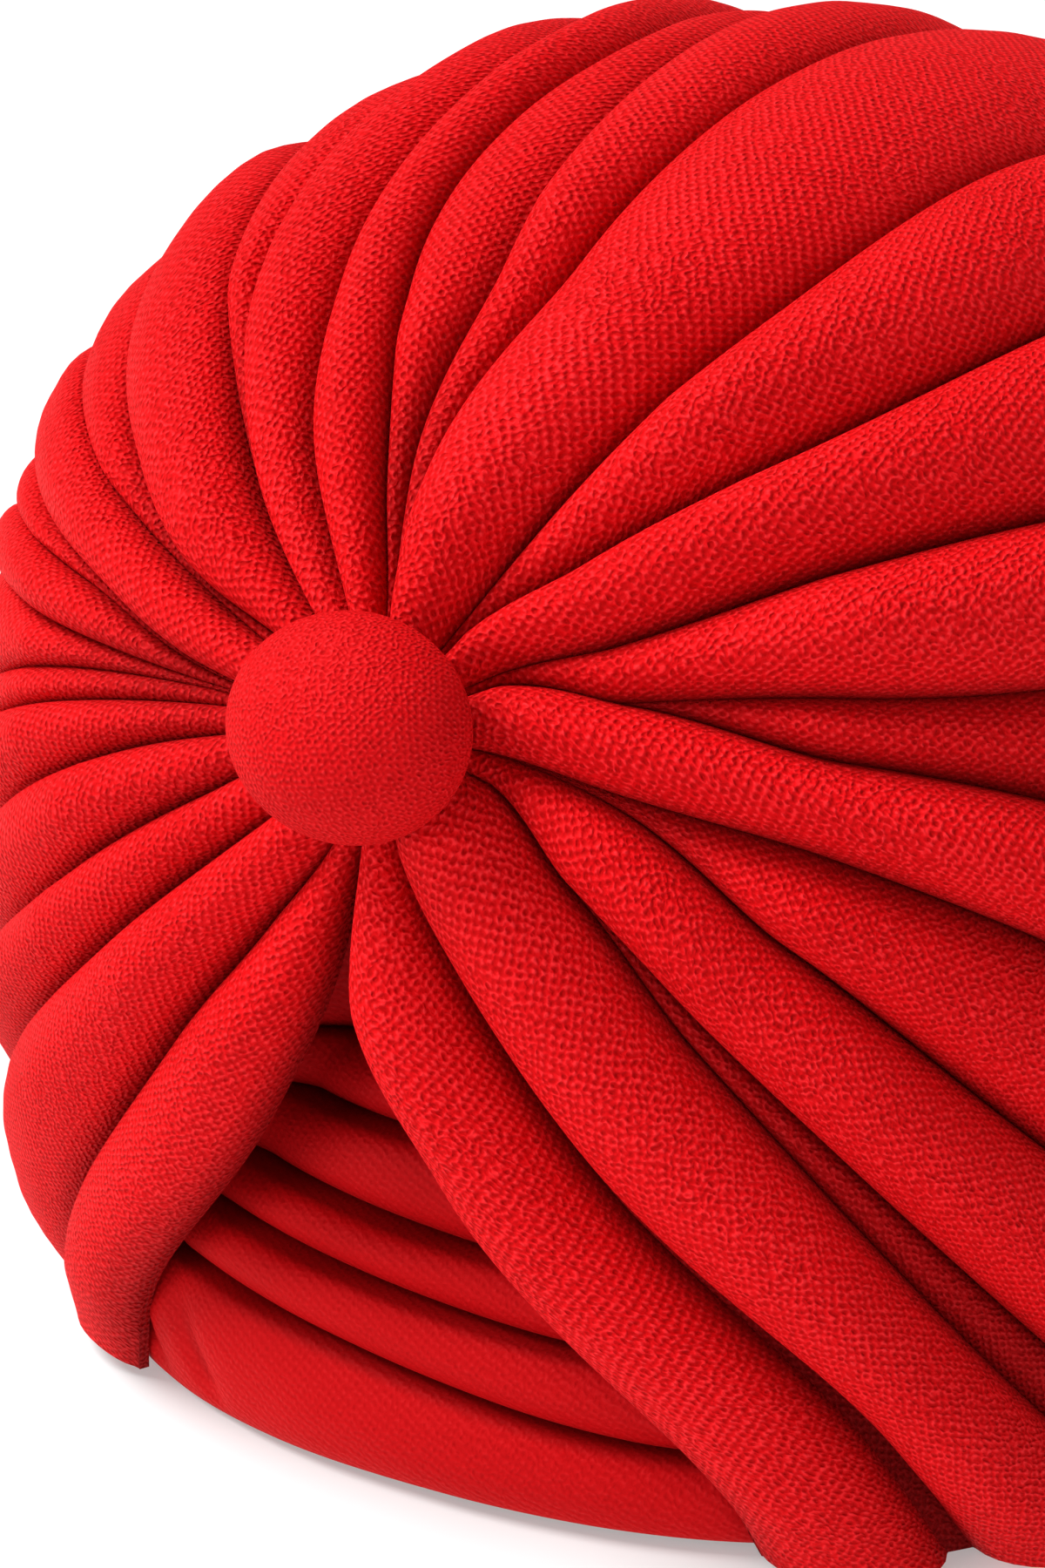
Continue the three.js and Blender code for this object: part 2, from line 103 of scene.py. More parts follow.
# One row per fold, from the free edge on the wearer's left of the V over the crown to the other
# edge. Directions are those of the crease before the fold at the four stations: 0 points to the
# wearer's left, 90 to the top. Height is the rise of the roll and kept the share of the crease's
# depth left far from the knot; start and end say how steeply the roll leaves its two creases, 0.5
# being upright; bias is the turn of the knit against the fold.
FOLD_COLUMNS = ("name", "knot", "near", "mid", "far", "height", "kept", "start", "end", "bias")
FOLD_ROWS = (
    ("left flap edge", -98, -96, -80, -60, 12.0, 1.0, 0.5, 0.5, -58),
    ("left flap gap", -76, -68.5, -60, -48.2, 2.0, 1.0, 0.8, 0.8, 45),
    ("left flap roll", -75, -66, -58, -46.6, 12.0, 1.0, 0.5, 0.5, 46),
    ("left tuck", -19, -31.2, -36.4, -36.6, 2.5, 1.0, 0.8, 0.8, 45),
    ("left cheek roll", -18, -30, -32.6, -32.4, 11.0, 1.0, 0.5, 0.5, 48),
    ("left cheek tuck", -4.8, -9, -17.5, -20, 8.5, 1.0, 0.6, 0.8, 50),
    ("left temple roll", -4, -6, -5, -5, 11.0, 1.0, 0.6, 0.45, 66),
    ("left temple tuck", 27.4, 14.4, 7, 7, 5.0, 1.0, 0.8, 0.8, 42),
    ("left side roll", 28, 15, 15, 20, 11.0, 0.9, 0.6, 0.48, 28),
    ("left upper roll", 33, 28, 30, 33, 11.0, 0.85, 0.65, 0.45, 29),
    ("left crown roll", 56, 47.5, 44.8, 49, 11.0, 0.75, 0.65, 0.45, 33),
    ("broad crown roll", 62, 61, 60.3, 63, 11.0, 0.65, 0.65, 0.45, 40),
    ("top roll", 95, 91, 82.8, 81, 10.6, 0.55, 0.6, 0.48, 45),
    ("top tuck", 99, 98, 91.5, 90, 7.0, 0.6, 0.8, 0.6, 48),
    ("right top roll", 102, 104, 103.8, 95.5, 10.2, 0.75, 0.5, 0.5, 56),
    ("right crown roll", 120, 119.5, 113, 102, 10.0, 0.75, 0.65, 0.45, 55),
    ("right crown tuck", 135.5, 133.2, 125, 110, 7.5, 0.65, 0.5, 0.7, 40),
    ("right upper roll", 136, 134.5, 129.5, 122.5, 10.0, 0.5, 0.55, 0.6, 42),
    ("right upper tuck", 152, 154, 146.5, 133, 7.0, 0.4, 0.6, 0.6, 45),
    ("right temple roll", 158, 156, 152, 144.5, 9.6, 0.3, 0.45, 0.65, 45),
    ("right side pleat", 175, 171, 162, 154, 6.0, 0.3, 0.6, 0.6, 50),
    ("right side roll", 175.6, 171.8, 164, 159, 9.5, 0.3, 0.45, 0.65, 58),
    ("right side tuck", 176.6, 174.6, 171, 164, 7.0, 0.35, 0.6, 0.6, 62),
    ("right low tuck", 178, 176, 175.5, 176, 6.0, 0.45, 0.6, 0.6, 70),
    ("right low roll", 180, 180, 180, 180, 10.0, 0.4, 0.45, 0.65, 72),
    ("right cheek roll", 188, 188, 189, 190, 9.7, 0.5, 0.45, 0.65, 56),
    ("right jaw roll", 200, 202, 202, 199, 10.4, 0.6, 0.45, 0.65, 54),
    ("right flap roll", 220, 217, 213.5, 209, 11.0, 0.75, 0.45, 0.6, 50),
    ("right flap edge", 247, 238.5, 231, 226, 10.4, 0.9, 0.5, 0.5, -38),
)
FOLDS = [dict(zip(FOLD_COLUMNS, row)) for row in FOLD_ROWS]
LAST_EDGE = {"knot": 259, "near": 257, "mid": 250, "far": 238, "kept": 1.0}
STATION_NAMES = ("knot", "near", "mid", "far")

# Level rolls of the band, lowest first: heights of the crease under each roll at the wearer's
# right and left ends of the V, how far its crest lies inside the dome there, and how steeply the
# roll leaves the crease under it.
BAND_COLUMNS = ("name", "right", "left", "set", "depth", "start")
BAND_ROWS = (
    ("brow edge roll", 0, 1, 5.0, 4.5, 0.3),
    ("brow roll", 22.5, 11.5, 9.0, 3.5, 0.5),
    ("low roll", 31, 22, 13.0, 3.5, 0.5),
    ("middle roll", 38, 30.5, 17.0, 3.5, 0.5),
    ("high roll", 47.5, 44, 21.0, 3.5, 0.5),
    ("top roll", 56, 54, 24.0, 3.0, 0.5),
)
BAND_ROLLS = [dict(zip(BAND_COLUMNS, row)) for row in BAND_ROWS]
BAND_KNIT_BIAS = 32
BAND_ROLL_END = 0.5

# Threads of the knit: turn against the cloth, pitch in millimetres and share of the relief.
FOLD_THREADS = ((90, 1.2, 0.25), (0, 1.05, 0.19), (47, 0.94, 0.12), (134, 0.90, 0.12))
BAND_THREADS = ((90, 1.25, 0.26), (0, 0.95, 0.12), (47, 0.86, 0.08), (134, 0.82, 0.08))
BUTTON_THREADS = ((10, 0.84, 0.16), (56, 0.80, 0.16), (101, 0.86, 0.16), (148, 0.78, 0.16))

# Knit of each material: its threads, how far its yarn wanders in radians, the share of the full
# relief and the share of the light. That share is painted light: each piece is painted lighter or
# darker as a whole, the folds lighter and the band darker as shade under the flaps.
KNITS = {
    "red_crepe_jersey": (FOLD_THREADS, 9.0, 0.58, 1.13),
    "red_crepe_jersey_band": (BAND_THREADS, 7.0, 0.18, 0.8),
    "red_crepe_jersey_button": (BUTTON_THREADS, 11.0, 0.42, 1.0),
}

# Noise in the knit: waves a millimetre, detail and the place where it starts.
LOOSE_PATCHES = (0.06, 1.0, 9.1)
STRAY_FIBRES = (1.3, 0.5, 3.3)
COLOUR_CAST = (0.03, 1.0, 17.0)
THREAD_STARTS = 23.7
NOISE_ROUGHNESS = 0.55

# How the noise acts on the yarn, its fibres, its colour and its roughness.
PATCH_RANGE = (0.35, 0.65)
PATCH_LOOSENESS = (0.4, 1.5)
FIBRE_LEVEL = 0.45
FIBRE_SHARPNESS = 6
FIBRE_SHARE = 0.3
CAST_SHARE = 0.2
TONE_REACH = 0.3
# Painted highlight: the tone from which the highest yarn is painted pale, and its share.
PAINTED_HIGHLIGHT_FROM = 0.55
PAINTED_HIGHLIGHT_SHARE = 0.5
ROUGHNESS_SPREAD = 0.12

# Finish of the jersey that is the same all over.
SPECULAR_LEVEL = 0.05
SHEEN_ROUGHNESS = 0.5
SHEEN_TINT = (1.0, 0.02, 0.02, 1.0)

# Soft lines along a fold: shares of their size that the fine gathers have, and the steps in the
# noise between seeds, folds, band rolls and the fine gathers.
FINE_WIDTH = 0.28
FINE_LENGTH = 0.6
FINE_STEP = 3.7
SEED_STEP = 7.3
FOLD_STEP = 3.1
BAND_STEP = 2.3

# Step in the cloth map from fold to fold in millimetres, faces of the outside to one of the inside,
# and the angle from which an edge stays sharp.
KNIT_STEP = 41.0
INNER_STEP = 4
SHARP_EDGE = 62

# The V that shows the band: its half angles at the floor, the height of its tip, and the angle
# behind a flap over which the band sinks to its hidden depth.
V_RIGHT_ANGLE = 30.6
V_LEFT_ANGLE = 26
V_HEIGHT = 80
HIDING_ANGLE = 9

# Small tucks across the band's lowest roll: first place and pitch in degrees, lean in degrees a
# millimetre, how narrow they are, how many pitches they spread over, and the heights between which
# they come up.
TUCK_ANGLE = -17.2
TUCK_PITCH = 7.6
TUCK_LEAN = 0.25
TUCK_SHARPNESS = 3
TUCK_SPREAD = 0.8
TUCK_FOOT = 1
TUCK_FULL = 8

# The button's rings go this far round from its tip, and a small step leads to the shank.
BUTTON_TURN = 165
SHANK_STEP = 0.0004

# Floor and camera.
FLOOR_COLOUR = (0.57, 0.62, 0.62, 1)
FLOOR_ROUGHNESS = 0.9
WHITE = (1, 1, 1, 1)
SENSOR_WIDTH = 36


class DomeSettings(bpy.types.PropertyGroup):
    half_width: FloatProperty(
        name="Half width", description="Half the dome's width at the girth",
        default=0.105, unit="LENGTH")
    front_reach: FloatProperty(
        name="Front reach", description="Girth in front of the middle",
        default=0.112, unit="LENGTH")
    back_reach: FloatProperty(
        name="Back reach", description="Girth behind the middle", default=0.119, unit="LENGTH")
    girth_height: FloatProperty(
        name="Girth height", description="Height of the widest place", default=0.077, unit="LENGTH")
    rise: FloatProperty(
        name="Rise", description="Dome above the girth", default=0.100, unit="LENGTH")
    drop: FloatProperty(
        name="Drop", description="Depth the dome would reach below the girth",
        default=0.180, unit="LENGTH")
    knot_height: FloatProperty(
        name="Knot height", description="Height of the knot under the button",
        default=0.104, unit="LENGTH")


class FoldSettings(bpy.types.PropertyGroup):
    crest_level: FloatProperty(
        name="Crest level", description="Roll crests above the dome", default=0.0018, unit="LENGTH")
    knot_dip: FloatProperty(
        name="Knot dip", description="How far the crests sink at the knot",
        default=0.005, unit="LENGTH")
    knot_dip_reach: FloatProperty(
        name="Knot dip reach", description="Reach of the dip", default=0.014, unit="LENGTH")
    crease_depth: FloatProperty(
        name="Crease depth", description="Creases below the crests", default=0.011, unit="LENGTH")
    crease_reach: FloatProperty(
        name="Crease reach", description="Distance over which creases open",
        default=0.012, unit="LENGTH")
    far_sink: FloatProperty(
        name="Far sink", description="How far the wrap sinks where its creases fade",
        default=0.0042, unit="LENGTH")
    slenderness: FloatProperty(
        name="Slenderness", description="Greatest roll height for its width", default=0.7)
    wall: FloatProperty(
        name="Wall", description="Cloth behind the creases", default=0.0015, unit="LENGTH")
    back_easing: FloatProperty(
        name="Back easing", description="Share of the relief lost at the back", default=0.45)
    flap_lift: FloatProperty(
        name="Flap lift", description="Stand-off of the flaps beside the V",
        default=0.0055, unit="LENGTH")
    rim_turn: FloatProperty(
        name="Rim turn", description="How far the rim is turned in", default=0.0015, unit="LENGTH")
    wrinkle: FloatProperty(
        name="Wrinkle", description="Height of the soft lines along a fold",
        default=0.0007, unit="LENGTH")
    gather: FloatProperty(
        name="Gather", description="Height of the fine gathers at the knot",
        default=0.0006, unit="LENGTH")
    seed: IntProperty(name="Seed", description="Which soft lines come up", default=4)
    rows: IntProperty(name="Rows", description="Rows of faces from knot to rim", default=176)
    cuts: IntProperty(name="Cuts", description="Faces across a roll", default=16)


class BandSettings(bpy.types.PropertyGroup):
    top: FloatProperty(
        name="Top", description="Height of the band", default=0.075, unit="LENGTH")
    half_angle: FloatProperty(
        name="Half angle", description="Band on each side of the front",
        default=math.radians(44), subtype="ANGLE")
    hidden_set: FloatProperty(
        name="Hidden set", description="Depth behind the flaps", default=0.016, unit="LENGTH")
    bulge: FloatProperty(
        name="Bulge", description="Swell in the middle of the V", default=0.002, unit="LENGTH")
    tuck: FloatProperty(
        name="Tuck", description="Depth of the small tucks beside the right flap",
        default=0.002, unit="LENGTH")
    thickness: FloatProperty(
        name="Thickness", description="Cloth behind the band's creases",
        default=0.0025, unit="LENGTH")
    wrinkle: FloatProperty(
        name="Wrinkle", description="Height of the soft lines along a roll",
        default=0.0006, unit="LENGTH", precision=5)
    line_length: FloatProperty(
        name="Line length", description="Length of the soft lines", default=0.03, unit="LENGTH")
    seed: IntProperty(name="Seed", description="Which soft lines come up", default=2)
    columns: IntProperty(name="Columns", description="Faces round the front", default=132)
    cuts: IntProperty(name="Cuts", description="Faces up one roll", default=16)


class ButtonSettings(bpy.types.PropertyGroup):
    half_width: FloatProperty(
        name="Half width", description="Half the oval's width", default=0.0154, unit="LENGTH")
    half_height: FloatProperty(
        name="Half height", description="Half the oval's height", default=0.0134, unit="LENGTH")
    front_depth: FloatProperty(
        name="Front depth", description="Rise of the dome", default=0.011, unit="LENGTH")
    back_depth: FloatProperty(
        name="Back depth", description="Depth of the back", default=0.0055, unit="LENGTH")
    stand_off: FloatProperty(
        name="Stand-off", description="Widest place in front of the knot",
        default=0.002, unit="LENGTH")
    shank_radius: FloatProperty(
        name="Shank radius", description="Radius of the hidden shank", default=0.004, unit="LENGTH")
    shank_length: FloatProperty(
        name="Shank length", description="Length of the hidden shank", default=0.014, unit="LENGTH")
    sides: IntProperty(name="Sides", description="Faces round the button", default=120)
    rings: IntProperty(name="Rings", description="Faces from tip to back", default=56)


class JerseySettings(bpy.types.PropertyGroup):
    bright: FloatVectorProperty(
        name="Bright red", description="Tops of the yarn",
        default=(0.76, 0.0040, 0.0075), size=3, subtype="COLOR")
    # Painted highlight on the highest yarn.
    pale: FloatVectorProperty(
        name="Pale red", description="Highest yarn",
        default=(0.80, 0.030, 0.036), size=3, subtype="COLOR")
    # Painted shade between the stitches.
    deep: FloatVectorProperty(
        name="Deep red", description="Between the stitches",
        default=(0.38, 0.0002, 0.0007), size=3, subtype="COLOR")
    curl_length: FloatProperty(
        name="Curl length", description="Length over which the crepe yarn wanders",
        default=0.0024, unit="LENGTH", precision=5)
    relief: FloatProperty(
        name="Relief", description="Height of the knit",
        default=0.00050, unit="LENGTH", precision=5)
    shade_from: FloatProperty(
        name="Shade from", description="Share of a crease's depth where its shade begins",
        default=0.45, subtype="FACTOR")
    shade_left: FloatProperty(
        name="Shade left", description="Colour left at the bottom of a crease",
        default=0.3, subtype="FACTOR")
    roughness: FloatProperty(
        name="Roughness", description="Matt finish", default=0.6, subtype="FACTOR")
    sheen: FloatProperty(
        name="Sheen", description="Soft fibre glow", default=0.35, subtype="FACTOR")


class StageSettings(bpy.types.PropertyGroup):
    target: FloatVectorProperty(
        name="Target", description="Point in the middle of the picture",
        default=(-0.03723, 0.00147, 0.0607), size=3, subtype="TRANSLATION")
    azimuth: FloatProperty(
        name="Azimuth", description="Camera turned from the front",
        default=math.radians(27.3), subtype="ANGLE")
    elevation: FloatProperty(
        name="Elevation", description="Camera above the floor",
        default=math.radians(18), subtype="ANGLE")
    distance: FloatProperty(
        name="Distance", description="Camera to target", default=0.52, unit="LENGTH")
    lens: FloatProperty(name="Lens", description="Focal length in millimetres", default=80)
    floor_glow: FloatProperty(
        name="Floor glow", description="Light given off by the floor", default=0.3)
    floor: FloatProperty(
        name="Floor", description="Half the floor's width", default=40.0, unit="LENGTH")
    surround: FloatProperty(
        name="Surround", description="Strength of the white surround", default=0.28)
    key: FloatProperty(
        name="Key", description="Strength of the soft key light from high on the left", default=3.9)
    front_fill: FloatProperty(
        name="Front fill", description="Strength of the low light in front", default=1.25)
    side_fill: FloatProperty(
        name="Side fill", description="Strength of the low light on the right", default=0.6)
    spread: FloatProperty(
        name="Spread", description="Softness of the lights",
        default=math.radians(32), subtype="ANGLE")


# Lamps: the setting that holds the strength, turn from the front and height in degrees.
LAMPS = (("key", -66, 55), ("front_fill", -30, 12), ("side_fill", 60, 10))


class TurbanSettings(bpy.types.PropertyGroup):
    dome: PointerProperty(type=DomeSettings)
    folds: PointerProperty(type=FoldSettings)
    band: PointerProperty(type=BandSettings)
    button: PointerProperty(type=ButtonSettings)
    jersey: PointerProperty(type=JerseySettings)
    stage: PointerProperty(type=StageSettings)


def mix(a, b, t):
    return a + (b - a) * t


def smooth(start, end, value):
    t = np.clip((value - start) / (end - start), 0, 1)
    return t * t * (3 - 2 * t)


def unit(vectors):
    return vectors / np.linalg.norm(vectors, axis=-1, keepdims=True)


def column(rows, name):
    """One named column of a table."""
    return np.array([row[name] for row in rows], float)


def roll_places(rolls, cuts):
    """Which roll each line of points lies on, and its share of the way over that roll."""
    which = np.minimum(np.arange(rolls * cuts + 1) // cuts, rolls - 1)
    shares = (1 - np.cos(np.pi * np.arange(cuts) / cuts)) / 2
    return which, np.append(np.tile(shares, rolls), 1.0)


def roll_top(start, end):
    """Height of a roll's curve at its crest, before it is scaled."""
    peak = start / (start + end)
    return peak**start * (1 - peak) ** end


class Dome:
    """The smooth oval form under the folds, in millimetres."""

    def __init__(self, sizes):
        self.half_width = sizes.half_width / MM
        self.front = sizes.front_reach / MM
        self.back = sizes.back_reach / MM
        self.girth = sizes.girth_height / MM
        self.rise = sizes.rise / MM
        self.drop = sizes.drop / MM
        height = sizes.knot_height / MM
        self.knot = np.array([0, -self.radius(np.array(0.0), np.array(height)), height])
        self.axis = unit(np.array([0, 1, -FAN_FALL]))
        self.up = unit(np.array([0, FAN_FALL, 1]))
        self.side = np.array([1.0, 0, 0])
        self.centre = self.knot + FAN_CENTRE_DEPTH * self.axis

    def level(self, p):
        """Below zero inside the dome, zero on it."""
        x, y, z = p[..., 0], p[..., 1], p[..., 2]
        lowness = 1 - smooth(0, RIM_INFLUENCE_HEIGHT, z)
        fullness = mix(PLAN_FULLNESS, RIM_FULLNESS, lowness)
        turn = np.radians(RIM_TWIST * lowness)
        moved = x - RIM_SHIFT * lowness
        across = moved * np.cos(turn) - y * np.sin(turn)
        along = moved * np.sin(turn) + y * np.cos(turn)
        reach = np.where(along < 0, self.front, self.back)
        wide, deep = abs(across / self.half_width), abs(along / reach)
        plan = (wide**fullness + deep**fullness) ** (1 / fullness)
        above = z - self.girth
        height = abs(above / np.where(above > 0, self.rise, self.drop))
        return plan**PROFILE_FULLNESS + height**PROFILE_FULLNESS - 1

    def normal(self, p):
        steps = SLOPE_STEP * np.eye(3)
        return unit(np.stack([self.level(p + step) - self.level(p - step) for step in steps], -1))

    def reach(self, start, ray):
        """Distance along a ray from inside the dome to the dome."""
        inside = np.zeros(ray.shape[:-1])
        outside = np.full(ray.shape[:-1], 2 * self.drop)
        for _ in range(HALVINGS):
            middle = (inside + outside) / 2
            within = self.level(start + ray * middle[..., None]) < 0
            inside = np.where(within, middle, inside)
            outside = np.where(within, outside, middle)
        return inside

    def radius(self, angle, z):
        """Plan radius at a height, in a direction turned from the front to the wearer's left."""
        ray = np.stack([np.sin(angle), -np.cos(angle), 0 * angle], -1)
        start = np.stack([0 * z, 0 * z, z], -1)
        return self.reach(start, ray)

    def fan_point(self, direction, out):
        """Point of the dome in a direction round the fan axis, at an angle out from the knot."""
        direction, out = np.radians(direction)[..., None], np.radians(out)[..., None]
        spread = np.cos(direction) * self.side + np.sin(direction) * self.up
        ray = np.sin(out) * spread - np.cos(out) * self.axis
        return self.centre + ray * self.reach(self.centre, ray)[..., None]

    def rim_angle(self, direction, height):
        """Angle out from the knot at which a direction comes down to a height."""
        above = np.full(direction.shape, 5.0)
        below = np.full(direction.shape, 179.0)
        for _ in range(HALVINGS):
            middle = (above + below) / 2
            clear = self.fan_point(direction, middle)[..., 2] > height
            above = np.where(clear, middle, above)
            below = np.where(clear, below, middle)
        return above

    def fan_radius(self, p):
        offset = p - self.knot
        return np.linalg.norm(offset - (offset @ self.axis)[..., None] * self.axis, axis=-1)


def crease_direction(crease, out):
    """Direction of a crease at an angle out from the knot: a smooth curve through its stations."""
    stations = np.array(STATIONS, float)
    values = np.array([crease[name] for name in STATION_NAMES], float)
    slopes = np.diff(values) / np.diff(stations)
    before = np.concatenate([slopes[:1], slopes])
    after = np.concatenate([slopes, [0]])
    product = before * after
    turning = np.where(product > 0, 2 * product / np.where(product > 0, before + after, 1), 0)
    at = np.clip(out, stations[0], stations[-1])
    k = np.clip(np.searchsorted(stations, at) - 1, 0, len(stations) - 2)
    span = stations[k + 1] - stations[k]
    t = (at - stations[k]) / span
    lead = t * (1 - t) ** 2 * span * turning[k]
    trail = t * t * (t - 1) * span * turning[k + 1]
    return mix(values[k], values[k + 1], t * t * (3 - 2 * t)) + lead + trail


def rim_heights(ends):
    """Height of the rim above the floor where folds end in the given directions."""
    left_place = (ends - FOLDS[0]["far"]) / FLAP_CORNER_SPREAD
    right_place = (LAST_EDGE["far"] - ends - RIGHT_CORNER_IN) / RIGHT_CORNER_SPREAD
    left_corner = np.clip(1 - left_place, 0, 1) ** 2
    right_corner = np.clip(1 - right_place**2, 0, 1)
    return LEFT_CORNER_LIFT * left_corner + RIGHT_CORNER_LIFT * right_corner


class Yarn:
    """A node socket in a sum: operators add Math nodes, and make adds any other node."""

    def __init__(self, tree, socket=None):
        self.tree = tree
        self.socket = socket

    def make(self, kind, settings=(), sockets=(), out=0):
        node = self.tree.nodes.new(kind)
        for name, value in dict(settings).items():
            setattr(node, name, value)
        for name, value in dict(sockets).items():
            if isinstance(value, Yarn):
                self.tree.links.new(value.socket, node.inputs[name])
            else:
                node.inputs[name].default_value = value
        return Yarn(self.tree, node.outputs[out] if node.outputs else None)

    def math(self, operation, *values):
        return self.make("ShaderNodeMath", {"operation": operation}, dict(enumerate(values)))

    def __add__(self, other):
        return self.math("ADD", self, other)

    def __sub__(self, other):
        return self.math("SUBTRACT", self, other)

    def __rsub__(self, other):
        return self.math("SUBTRACT", other, self)

    def __mul__(self, other):
        return self.math("MULTIPLY", self, other)

    def __truediv__(self, other):
        return self.math("DIVIDE", self, other)

    def __pow__(self, other):
        return self.math("POWER", self, other)

    __radd__ = __add__
    __rmul__ = __mul__


def jersey_material(cloth, name):
    """Matt red crepe knit on the piece's own cloth map, which is in millimetres."""
    threads, curl, depth, shade = KNITS[name]
    material = bpy.data.materials.new(name)
    material.use_nodes = True
    tree = material.node_tree
    tree.nodes.clear()
    start = Yarn(tree)
    lie = start.make("ShaderNodeUVMap", {"uv_map": CLOTH_MAP})
    along = start.make("ShaderNodeSeparateXYZ", (), {0: lie}, 0)
    across = start.make("ShaderNodeSeparateXYZ", (), {0: lie}, 1)

    def noise(scale, detail, offset):
        place = start.make(
            "ShaderNodeVectorMath", {"operation": "ADD"}, {0: lie, 1: (offset, offset, offset)})
        sockets = {"Vector": place, "Scale": scale, "Detail": detail, "Roughness": NOISE_ROUGHNESS}
        return start.make("ShaderNodeTexNoise", {"noise_dimensions": "3D"}, sockets)

    def ranged(value, low, high, start_value, end_value):
        sockets = {0: value, 1: low, 2: high, 3: start_value, 4: end_value}
        return start.make("ShaderNodeMapRange", {"clamp": True}, sockets)

    def blend(amount, under, over):
        sockets = {0: amount, 6: under, 7: over}
        return start.make("ShaderNodeMix", {"data_type": "RGBA"}, sockets, 2)

    tight, slack = (curl * share for share in PATCH_LOOSENESS)
    loose = ranged(noise(*LOOSE_PATCHES), *PATCH_RANGE, tight, slack)
    thread = 0.5
    for number, (turn, pitch, share) in enumerate(threads):
        turn = math.radians(turn)
        place = (along * math.cos(turn) + across * math.sin(turn)) * (math.tau / pitch)
        stray = (noise(MM / cloth.curl_length, 1.0, THREAD_STARTS * number) - 0.5) * loose
        thread = start.math("SINE", place + stray) * share + thread
    strand = FIBRE_LEVEL - start.math("ABSOLUTE", noise(*STRAY_FIBRES) - 0.5) * FIBRE_SHARPNESS
    height = strand * FIBRE_SHARE + thread
    cast = noise(*COLOUR_CAST) - 0.5
    # Painted shade: the yarn is painted deep red in the gaps between the stitches and bright on its
    # tops, with a random colour cast over it.
    tone = ranged((height - 0.5) * depth + cast * CAST_SHARE, -TONE_REACH, TONE_REACH, 0.0, 1.0)
    colour = blend(tone, (*cloth.deep, 1.0), (*cloth.bright, 1.0))
    # Painted highlight: the highest yarn is painted pale, as if it caught the light.
    painted_highlight = ranged(tone, PAINTED_HIGHLIGHT_FROM, 1.0, 0.0, PAINTED_HIGHLIGHT_SHARE)
    colour = blend(painted_highlight, colour, (*cloth.pale, 1.0))
    # Painted shade in the creases: darker the further a place lies down in its crease. The whole
    # piece is also painted lighter or darker by its share of the light.
    hollow = start.make("ShaderNodeAttribute", {"attribute_name": CREASE_SHADE}, (), 2)
    light = ranged(hollow, cloth.shade_from, 1.0, shade, shade * cloth.shade_left)
    colour = start.make(
        "ShaderNodeVectorMath", {"operation": "SCALE"}, {0: colour, "Scale": light})
    bump = start.make(
        "ShaderNodeBump", (),
        {"Strength": 1.0, "Distance": cloth.relief * depth, "Height": height})
    shader = start.make(
        "ShaderNodeBsdfPrincipled", (),
        {
            "Base Color": colour,
            "Roughness": cloth.roughness + (0.5 - height) * ROUGHNESS_SPREAD,
            "Normal": bump,
            "Specular IOR Level": SPECULAR_LEVEL,
            "Sheen Weight": cloth.sheen,
            "Sheen Roughness": SHEEN_ROUGHNESS,
            "Sheen Tint": SHEEN_TINT,
        })
    start.make("ShaderNodeOutputMaterial", (), {"Surface": shader})
    return material


def pleat_tree():
    """Geometry nodes that swell a smooth sheet into rolls between its creases."""
    tree = bpy.data.node_groups.new(PLEAT_TREE, "GeometryNodeTree")
    face = tree.interface
    face.new_socket("Geometry", in_out="INPUT", socket_type="NodeSocketGeometry")
    sizes = {"Wrinkle": 0.0, "Gather": 0.0, "Line length": 0.05, "Line width": 0.008}
    for name, default in sizes.items():
        face.new_socket(name, in_out="INPUT", socket_type="NodeSocketFloat").default_value = default
    face.new_socket("Seed", in_out="INPUT", socket_type="NodeSocketInt")
    face.new_socket("Material", in_out="INPUT", socket_type="NodeSocketMaterial")
    face.new_socket("Geometry", in_out="OUTPUT", socket_type="NodeSocketGeometry")
    start = Yarn(tree)
    group = start.make("NodeGroupInput").socket.node
    given = {socket.name: Yarn(tree, socket) for socket in group.outputs}

    def field(name, kind="FLOAT"):
        return start.make("GeometryNodeInputNamedAttribute", {"data_type": kind}, {"Name": name})

    share = field("share")
    roll = share ** field("start") * (1 - share) ** field("end")
    swell = start.math("MAXIMUM", field("rise") * roll - field("turn"), 0.0)
    place = field("lie", "FLOAT_VECTOR")
    lie, length, piece = (
        start.make("ShaderNodeSeparateXYZ", (), {0: place}, out) for out in range(3))

    def lines(width, reach, shift):
        layer = piece + given["Seed"] * SEED_STEP + shift
        spot = start.make(
            "ShaderNodeCombineXYZ", (), {0: lie / width, 1: length / reach, 2: layer})
        sockets = {"Vector": spot, "Scale": 1.0, "Detail": 1.0}
        ripple = start.make("ShaderNodeTexNoise", {"noise_dimensions": "3D"}, sockets)
        return (ripple - 0.5) * 2

    width, reach = given["Line width"], given["Line length"]
    soft = lines(width, reach, 0.0) * given["Wrinkle"]
    gathers = lines(width * FINE_WIDTH, reach * FINE_LENGTH, FINE_STEP)
    fine = gathers * given["Gather"] * field("pinch")
    offset = field("low") + swell + (soft + fine) * field("free")
    outward = field("outward", "FLOAT_VECTOR")
    shift = start.make(
        "ShaderNodeVectorMath", {"operation": "SCALE"}, {0: outward, "Scale": offset})
    moved = start.make(
        "GeometryNodeSetPosition", (), {"Geometry": given["Geometry"], "Offset": shift})
    real = start.make("GeometryNodeRealizeInstances", (), {"Geometry": moved})
    dressed = start.make(
        "GeometryNodeSetMaterial", (), {"Geometry": real, "Material": given["Material"]})
    start.make("NodeGroupOutput", (), {"Geometry": dressed})
    return tree


